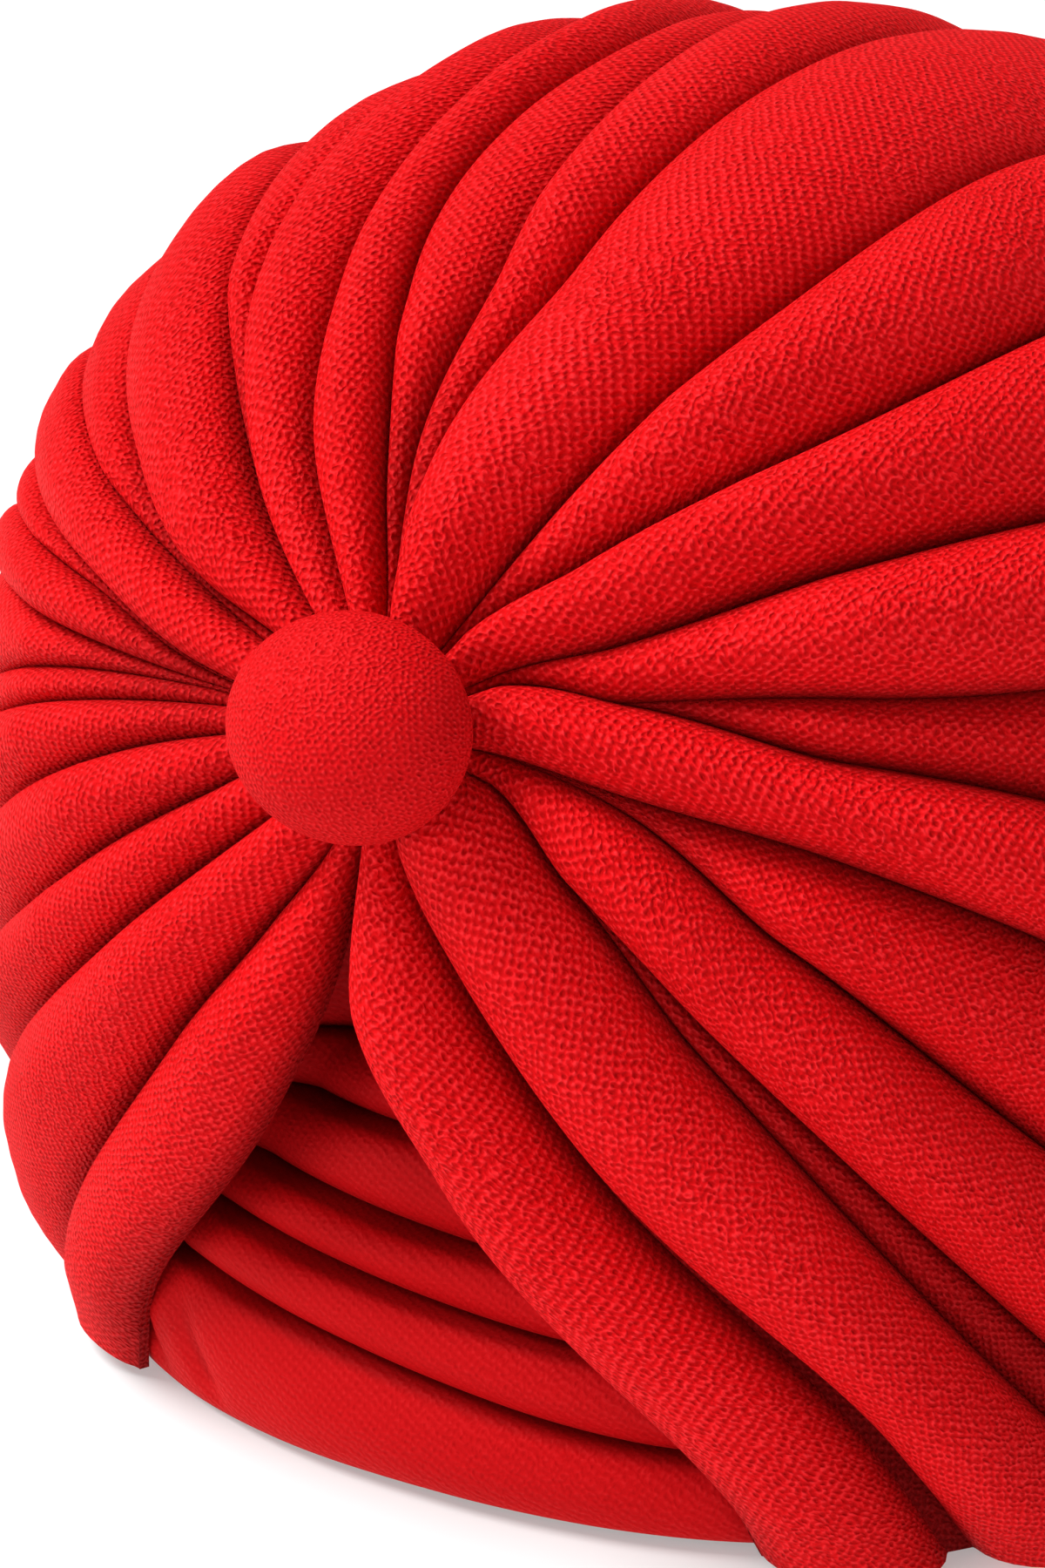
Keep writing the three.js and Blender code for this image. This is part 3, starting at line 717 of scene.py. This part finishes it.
def shell_faces(columns, rows, step):
    """Faces between an outer grid and a coarser inner grid, sewn together at the borders."""
    outer = np.arange(columns * rows).reshape(columns, rows)
    few = ((columns - 1) // step + 1, (rows - 1) // step + 1)
    inner = outer.size + np.arange(few[0] * few[1]).reshape(few)
    a, b, c, d = outer[:-1, :-1], outer[1:, :-1], outer[1:, 1:], outer[:-1, 1:]
    faces = np.stack([a, b, c, d], -1).reshape(-1, 4).tolist()
    a, b, c, d = inner[:-1, :-1], inner[1:, :-1], inner[1:, 1:], inner[:-1, 1:]
    faces += np.stack([a, d, c, b], -1).reshape(-1, 4).tolist()
    borders = (
        (outer[:, 0], inner[:, 0]),
        (outer[-1], inner[-1]),
        (outer[::-1, -1], inner[::-1, -1]),
        (outer[0, ::-1], inner[0, ::-1]),
    )
    for fine, coarse in borders:
        for k in range(len(coarse) - 1):
            run = fine[k * step:(k + 1) * step + 1]
            faces += [[int(run[n + 1]), int(run[n]), int(coarse[k])] for n in range(step)]
            faces.append([int(coarse[k]), int(coarse[k + 1]), int(run[-1])])
    return faces


def soften(mesh):
    """Smooth shading, with the edges of the cloth left sharp."""
    mesh.shade_smooth()
    mesh.set_sharp_from_angle(angle=math.radians(SHARP_EDGE))


def pleated_piece(name, grid, fields, tree, sizes, material):
    """Closed mesh of a rolled sheet: a grid of dome points, swollen by the pleat nodes.

    The field "hollow" stays on the mesh: how far each place lies down in its crease, painted as
    shade."""
    columns, rows = grid.shape[:2]
    coarse = (slice(None, None, INNER_STEP), slice(None, None, INNER_STEP))
    points = np.concatenate([grid.reshape(-1, 3), grid[coarse].reshape(-1, 3)]) - HAT_MIDDLE
    mesh = bpy.data.meshes.new(name)
    mesh.from_pydata((points * MM).tolist(), [], shell_faces(columns, rows, INNER_STEP))
    for key, (outside, inside) in fields.items():
        wide = outside.ndim == 3
        flat = (-1, 3) if wide else (-1,)
        joined = np.concatenate([outside.reshape(flat), inside[coarse].reshape(flat)]).ravel()
        layer = mesh.attributes.new(key, "FLOAT_VECTOR" if wide else "FLOAT", "POINT")
        layer.data.foreach_set("vector" if wide else "value", joined.astype(np.float32))
    sheet = bpy.data.objects.new(name + "_sheet", mesh)
    bpy.context.collection.objects.link(sheet)
    rolls = sheet.modifiers.new("pleat rolls", "NODES")
    rolls.node_group = tree
    for socket in tree.interface.items_tree:
        if socket.in_out == "INPUT" and socket.name in sizes:
            rolls[socket.identifier] = sizes[socket.name]
        elif socket.in_out == "INPUT" and socket.name == "Material":
            rolls[socket.identifier] = material
    view = bpy.context.evaluated_depsgraph_get()
    made = bpy.data.meshes.new_from_object(sheet.evaluated_get(view))
    sheet.modifiers.remove(rolls)
    bpy.data.objects.remove(sheet)
    bpy.data.meshes.remove(mesh)
    for key in fields:
        if key != CREASE_SHADE:
            made.attributes.remove(made.attributes[key])
    made.name = name
    piece = bpy.data.objects.new(name, made)
    bpy.context.collection.objects.link(piece)
    soften(made)
    return piece


def coordinates(mesh):
    flat = np.empty(len(mesh.vertices) * 3, np.float32)
    mesh.vertices.foreach_get("co", flat)
    return flat.reshape(-1, 3).astype(float)


def corner_numbers(mesh):
    """Number of the point at each corner of each face."""
    corners = np.empty(len(mesh.loops), np.int32)
    mesh.loops.foreach_get("vertex_index", corners)
    return corners


def set_cloth_map(mesh, cloth):
    layer = mesh.uv_layers.new(name=CLOTH_MAP)
    layer.data.foreach_set("uv", np.ascontiguousarray(cloth, np.float32).ravel())


def lay_cloth(mesh, grid_shape, blocks):
    """Cloth map in millimetres: each block of columns is unrolled along and across its fold."""
    columns, rows = grid_shape
    points = coordinates(mesh) / MM
    grid = points[: columns * rows].reshape(columns, rows, 3)
    corner = points[corner_numbers(mesh)]
    cloth = np.stack([corner[:, 0] + corner[:, 1], corner[:, 2]], -1)
    steps = np.linalg.norm(np.diff(grid, axis=1), axis=-1)
    length = np.concatenate([np.zeros((columns, 1)), np.cumsum(steps, axis=1)], axis=1)
    for first, last, bias, shift in blocks:
        part = grid[first:last + 1]
        steps = np.linalg.norm(np.diff(part, axis=0), axis=-1)
        width = np.concatenate([np.zeros((1, rows)), np.cumsum(steps, axis=0)], axis=0)
        width = width - width[-1:] / 2
        turn = math.radians(bias)
        along, across = length[first:last + 1], width
        place = np.stack(
            [along * math.cos(turn) + across * math.sin(turn) + shift,
             across * math.cos(turn) - along * math.sin(turn)], -1)
        low, high = first * (rows - 1), last * (rows - 1)
        corners = np.stack([place[:-1, :-1], place[1:, :-1], place[1:, 1:], place[:-1, 1:]], 2)
        cloth[low * 4:high * 4] = corners.reshape(-1, 2)
    set_cloth_map(mesh, cloth)


class TURBAN_OT_crown(bpy.types.Operator):
    """Pleated crown: rolls fanned out from the knot, down to the rim"""

    bl_idname = "turban.crown"
    bl_label = "Pleated crown"

    def execute(self, context):
        turban = context.scene.turban
        sizes = turban.folds
        dome = Dome(turban.dome)
        cuts, rows = sizes.cuts, sizes.rows + 1
        edges = [*FOLDS, LAST_EDGE]
        fold_of, share = roll_places(len(FOLDS), cuts)

        # Lines of points on the dome, from the knot to the rim.
        far = column(edges, "far")
        ends = mix(far[fold_of], far[fold_of + 1], share)
        rim_height = rim_heights(ends)
        rim = dome.rim_angle(ends, rim_height)
        first = math.degrees(KNOT_HOLE_RADIUS / FAN_CENTRE_DEPTH)
        along = (np.arange(rows) / (rows - 1)) ** ROW_CROWDING
        out = mix(first, rim[:, None], along[None])
        start = np.stack([crease_direction(edges[f], out[i]) for i, f in enumerate(fold_of)])
        end = np.stack([crease_direction(edges[f + 1], out[i]) for i, f in enumerate(fold_of)])
        across = share[:, None] + 0 * out
        direction = mix(start, end, across)
        grid = dome.fan_point(direction, out)
        grid[:, -1, 2] = rim_height

        # Which way the cloth swells: level at the rim, so that the rim stays on the floor.
        over_rim = grid[..., 2] - rim_height[:, None]
        keep = smooth(0, RIM_EASE_HEIGHT, over_rim)
        outward = dome.normal(grid)
        outward[..., 2] *= keep

        # How high the crests stand, and how deep the creases lie under them.
        radius = dome.fan_radius(grid)
        easing = 1 - sizes.back_easing * smooth(EASING_FROM, EASING_TO, grid[..., 1])
        opening = 1 - np.exp(-radius / (sizes.crease_reach / MM))
        crest = sizes.crest_level - sizes.knot_dip * np.exp(-radius / (sizes.knot_dip_reach / MM))
        left = direction - np.stack([crease_direction(FOLDS[0], line) for line in out])
        right = np.stack([crease_direction(LAST_EDGE, line) for line in out]) - direction
        nearest = np.minimum(left, right) / FLAP_LIFT_SPREAD
        lift = sizes.flap_lift * smooth(STATIONS[0], STATIONS[-1], out) * np.exp(-nearest**2)
        kept = column(edges, "kept")
        kept = mix(kept[fold_of], kept[fold_of + 1], share)[:, None]
        fade = smooth(FADE_FROM, FADE_TO, out)
        relief = opening * easing * mix(1, kept, fade)
        low = crest - sizes.crease_depth * relief - sizes.far_sink * (1 - kept) * fade + lift

        # The roll between two creases, and how far each place lies down in its crease, which the
        # material paints as shade.
        width = np.radians(end - start) * radius * MM
        height = column(FOLDS, "height")[fold_of, None] * MM
        rise = np.minimum(height * relief - lift, sizes.slenderness * width)
        steep = column(FOLDS, "start")[fold_of, None]
        fall = column(FOLDS, "end")[fold_of, None]
        top = roll_top(steep, fall)
        roll = across**steep * (1 - across) ** fall / top
        hollow = np.clip((crest + lift - low - rise * roll) / sizes.crease_depth, 0, 1)

        # What the pleat nodes read, on the outside and on the inside.
        turn = sizes.rim_turn * (1 - keep)
        nothing = 0 * out
        length = np.radians(out) * FAN_CENTRE_DEPTH * MM
        lie = np.stack([(across - 0.5) * width, length, fold_of[:, None] * FOLD_STEP + nothing], -1)
        free = np.sin(np.pi * across) ** 0.5 * opening * keep
        fields = {
            "share": (across, nothing),
            "start": (steep + nothing, nothing + 1),
            "end": (fall + nothing, nothing + 1),
            "rise": (rise / top, nothing),
            "turn": (turn, nothing),
            "low": (low, low - sizes.wall),
            "outward": (outward, outward),
            "lie": (lie, lie),
            "pinch": (np.exp(-radius / GATHER_REACH), nothing),
            "free": (free, nothing),
            CREASE_SHADE: (hollow, nothing + 1),
        }

        # The lines are taken in reverse, so that the faces point outwards.
        fields = {key: (outer[::-1], inner[::-1]) for key, (outer, inner) in fields.items()}
        material = jersey_material(turban.jersey, "red_crepe_jersey")
        lines = {"Wrinkle": sizes.wrinkle, "Gather": sizes.gather, "Seed": sizes.seed}
        piece = pleated_piece("pleated_crown", grid[::-1], fields, pleat_tree(), lines, material)
        last = len(FOLDS) * cuts
        blocks = [
            (last - (f + 1) * cuts, last - f * cuts, 180 - fold["bias"], KNIT_STEP * f)
            for f, fold in enumerate(FOLDS)]
        lay_cloth(piece.data, (last + 1, rows), blocks)
        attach(piece, BODY)
        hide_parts("crown_wrap")
        return {"FINISHED"}


class TURBAN_OT_band(bpy.types.Operator):
    """Forehead band: level rolls behind the V"""

    bl_idname = "turban.band"
    bl_label = "Rolled forehead band"

    def execute(self, context):
        turban = context.scene.turban
        sizes = turban.band
        dome = Dome(turban.dome)
        columns = sizes.columns + 1
        roll_of, share = roll_places(len(BAND_ROLLS), sizes.cuts)
        edges = [*BAND_ROLLS, {"right": sizes.top / MM, "left": sizes.top / MM}]

        # Turn from the front and height of each point.
        half = math.degrees(sizes.half_angle)
        angle = np.linspace(-half, half, columns)[:, None]
        across = smooth(-V_RIGHT_ANGLE, V_LEFT_ANGLE, angle)
        right, left = column(edges, "right"), column(edges, "left")
        low = mix(right[roll_of], left[roll_of], across)
        high = mix(right[roll_of + 1], left[roll_of + 1], across)
        z = mix(low, high, share[None])
        angle = angle + 0 * z

        # How far the crests lie inside the dome: least in the V's middle, most behind the flaps.
        edge = np.where(angle < 0, V_RIGHT_ANGLE, V_LEFT_ANGLE) * (1 - z / V_HEIGHT)
        bulge = sizes.bulge * np.maximum(0, 1 - (angle / edge) ** 2)
        hiding = smooth(0, HIDING_ANGLE, abs(angle) - edge)
        setting = column(BAND_ROLLS, "set")[None, roll_of] * MM
        depth = column(BAND_ROLLS, "depth")[None, roll_of] * MM + 0 * z
        crest = bulge - mix(setting, sizes.hidden_set, hiding)

        # Small tucks across the lowest roll beside the flap on the wearer's right.
        leaning = angle + TUCK_LEAN * z - TUCK_ANGLE
        tucks = (0.5 + 0.5 * np.cos(math.tau * leaning / TUCK_PITCH)) ** TUCK_SHARPNESS
        tucks = tucks * np.exp(-(((leaning / TUCK_PITCH + 0.5) / TUCK_SPREAD) ** 2))
        tucks = tucks * (1 - share**4) * smooth(TUCK_FOOT, TUCK_FULL, z) * (roll_of == 0)
        crest = crest - sizes.tuck * tucks
        # Painted shade: darkest at the creases between the band's rolls and along the small tucks.
        crease = np.maximum(1 - (4 * share * (1 - share))[None] ** 0.5, tucks)

        # Points on the dome, and what the pleat nodes read on the outside and on the inside.
        turned = np.radians(angle)
        radius = dome.radius(turned, z)
        ray = np.stack([np.sin(turned), -np.cos(turned), 0 * z], -1)
        grid = ray * radius[..., None] + np.stack([0 * z, 0 * z, z], -1)
        nothing = 0 * z
        start = column(BAND_ROLLS, "start")[None, roll_of]
        width = (share[None] - 0.5) * (high - low) * MM
        lie = np.stack([width, turned * radius * MM, roll_of[None] * BAND_STEP + nothing], -1)
        fields = {
            "share": (share[None] + nothing, nothing),
            "start": (start + nothing, nothing + 1),
            "end": (nothing + BAND_ROLL_END, nothing + 1),
            "rise": (depth / roll_top(start, BAND_ROLL_END), nothing),
            "turn": (nothing, nothing),
            "low": (crest - depth, crest - depth - sizes.thickness),
            "outward": (ray, ray),
            "lie": (lie, lie),
            "pinch": (nothing, nothing),
            "free": (np.sin(np.pi * share)[None] ** 0.5 + nothing, nothing),
            CREASE_SHADE: (crease, nothing + 1),
        }

        material = jersey_material(turban.jersey, "red_crepe_jersey_band")
        lines = {"Wrinkle": sizes.wrinkle, "Line length": sizes.line_length, "Seed": sizes.seed}
        tree = bpy.data.node_groups[PLEAT_TREE]
        piece = pleated_piece("forehead_rolls", grid, fields, tree, lines, material)
        lay_cloth(piece.data, grid.shape[:2], [(0, columns - 1, 90 + BAND_KNIT_BIAS, 0.0)])
        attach(piece, BODY)
        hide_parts("forehead_band")
        return {"FINISHED"}


class TURBAN_OT_button(bpy.types.Operator):
    """Oval domed button covered in the same jersey, on a hidden shank"""

    bl_idname = "turban.button"
    bl_label = "Covered button"

    def execute(self, context):
        turban = context.scene.turban
        sizes = turban.button
        dome = Dome(turban.dome)
        normal = dome.normal(dome.knot)
        up = np.cross(normal, dome.side)
        centre = dome.knot + normal * sizes.stand_off / MM

        # Rings from the tip over the back and along the shank: half sizes and place ahead.
        tilt = np.radians(BUTTON_TURN) * np.arange(1, sizes.rings + 1) / sizes.rings
        ahead = np.where(np.cos(tilt) > 0, sizes.front_depth, sizes.back_depth) * np.cos(tilt)
        wide, tall = sizes.half_width * np.sin(tilt), sizes.half_height * np.sin(tilt)
        end = -sizes.back_depth - sizes.shank_length
        wide = np.append(wide, [sizes.shank_radius] * 2)
        tall = np.append(tall, [sizes.shank_radius] * 2)
        ahead = np.append(ahead, [ahead[-1] - SHANK_STEP, end])
        turn = math.tau * np.arange(sizes.sides) / sizes.sides

        def at(across, upward, forward):
            offset = across[..., None] * dome.side + upward[..., None] * up
            return centre + (offset + forward[..., None] * normal) / MM

        across, upward = wide[:, None] * np.cos(turn), tall[:, None] * np.sin(turn)
        rings = at(across, upward, ahead[:, None] + 0 * turn)
        tip = at(np.array(0.0), np.array(0.0), np.array(sizes.front_depth))
        tail = at(np.array(0.0), np.array(0.0), np.array(end))
        points = np.concatenate([[tip], rings.reshape(-1, 3), [tail]]) - HAT_MIDDLE

        number = 1 + np.arange(len(wide) * sizes.sides).reshape(len(wide), sizes.sides)
        following = np.roll(number, -1, axis=1)
        faces = [[0, int(a), int(b)] for a, b in zip(number[0], following[0])]
        sides = np.stack([number[:-1], number[1:], following[1:], following[:-1]], -1)
        faces += sides.reshape(-1, 4).tolist()
        tail_number = len(points) - 1
        faces += [[int(a), tail_number, int(b)] for a, b in zip(number[-1], following[-1])]
        mesh = bpy.data.meshes.new("covered_dome")
        mesh.from_pydata((points * MM).tolist(), [], faces)
        mesh.materials.append(jersey_material(turban.jersey, "red_crepe_jersey_button"))
        piece = bpy.data.objects.new("covered_dome", mesh)
        context.collection.objects.link(piece)
        soften(mesh)

        # The cloth is laid out round the tip, by the length over the dome.
        steps = np.hypot(np.diff(np.append(0, wide)), np.diff(np.append(sizes.front_depth, ahead)))
        arc = np.cumsum(steps) / MM
        laid_out = np.stack([arc[:, None] * np.cos(turn), arc[:, None] * np.sin(turn)], -1)
        place = np.concatenate([[[0, 0]], laid_out.reshape(-1, 2), [[arc[-1], 0]]])
        set_cloth_map(mesh, place[corner_numbers(mesh)])
        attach(piece, BODY)
        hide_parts("covered_button")
        return {"FINISHED"}


class TURBAN_OT_stage(bpy.types.Operator):
    """Pale floor, white surround, soft lights and the camera"""

    bl_idname = "turban.stage"
    bl_label = "Floor, lights and camera"

    def execute(self, context):
        scene = context.scene
        stage = scene.turban.stage
        reach = stage.floor
        mesh = bpy.data.meshes.new("pale_floor")
        corners = [(-reach, -reach, 0), (reach, -reach, 0), (reach, reach, 0), (-reach, reach, 0)]
        mesh.from_pydata(corners, [], [(0, 1, 2, 3)])
        floor = bpy.data.objects.new("pale_floor", mesh)
        context.collection.objects.link(floor)
        pale = bpy.data.materials.new("pale_floor")
        pale.use_nodes = True
        surface = pale.node_tree.nodes["Principled BSDF"]
        surface.inputs["Base Color"].default_value = FLOOR_COLOUR
        surface.inputs["Roughness"].default_value = FLOOR_ROUGHNESS
        surface.inputs["Emission Color"].default_value = WHITE
        surface.inputs["Emission Strength"].default_value = stage.floor_glow
        mesh.materials.append(pale)

        world = bpy.data.worlds.new("white_surround")
        world.use_nodes = True
        glow = world.node_tree.nodes["Background"]
        glow.inputs["Color"].default_value = WHITE
        glow.inputs["Strength"].default_value = stage.surround
        scene.world = world

        for name, turn, height in LAMPS:
            lamp = bpy.data.lights.new(name, "SUN")
            lamp.energy = getattr(stage, name)
            lamp.angle = stage.spread
            holder = bpy.data.objects.new(name, lamp)
            holder.rotation_euler = (math.radians(90 - height), 0, math.radians(turn))
            context.collection.objects.link(holder)

        a, e = stage.azimuth, stage.elevation
        back = np.array([math.sin(a) * math.cos(e), -math.cos(a) * math.cos(e), math.sin(e)])
        camera = bpy.data.cameras.new("photo_camera")
        camera.lens = stage.lens
        camera.sensor_width = SENSOR_WIDTH
        holder = bpy.data.objects.new("photo_camera", camera)
        holder.location = np.array(stage.target) + stage.distance * back
        holder.rotation_euler = (math.pi / 2 - e, 0, a)
        context.collection.objects.link(holder)
        scene.camera = holder
        scene.view_settings.view_transform = "Standard"
        return {"FINISHED"}


class TURBAN_PT_panel(bpy.types.Panel):
    """Pieces of the turban hat"""

    bl_idname = "TURBAN_PT_panel"
    bl_label = "Turban hat"
    bl_space_type = "VIEW_3D"
    bl_region_type = "UI"
    bl_category = "Turban hat"

    def draw(self, context):
        for operator in OPERATORS:
            self.layout.operator(operator.bl_idname)


OPERATORS = (TURBAN_OT_crown, TURBAN_OT_band, TURBAN_OT_button, TURBAN_OT_stage)
CLASSES = (
    DomeSettings, FoldSettings, BandSettings, ButtonSettings, JerseySettings, StageSettings,
    TurbanSettings, *OPERATORS, TURBAN_PT_panel,
)


def register():
    for entry in CLASSES:
        bpy.utils.register_class(entry)
    bpy.types.Scene.turban = PointerProperty(type=TurbanSettings)


def unregister():
    del bpy.types.Scene.turban
    for entry in reversed(CLASSES):
        bpy.utils.unregister_class(entry)


def main():
    register()
    bpy.ops.turban.crown()
    bpy.ops.turban.band()
    bpy.ops.turban.button()
    bpy.ops.turban.stage()


if __name__ == "__main__":
    main()
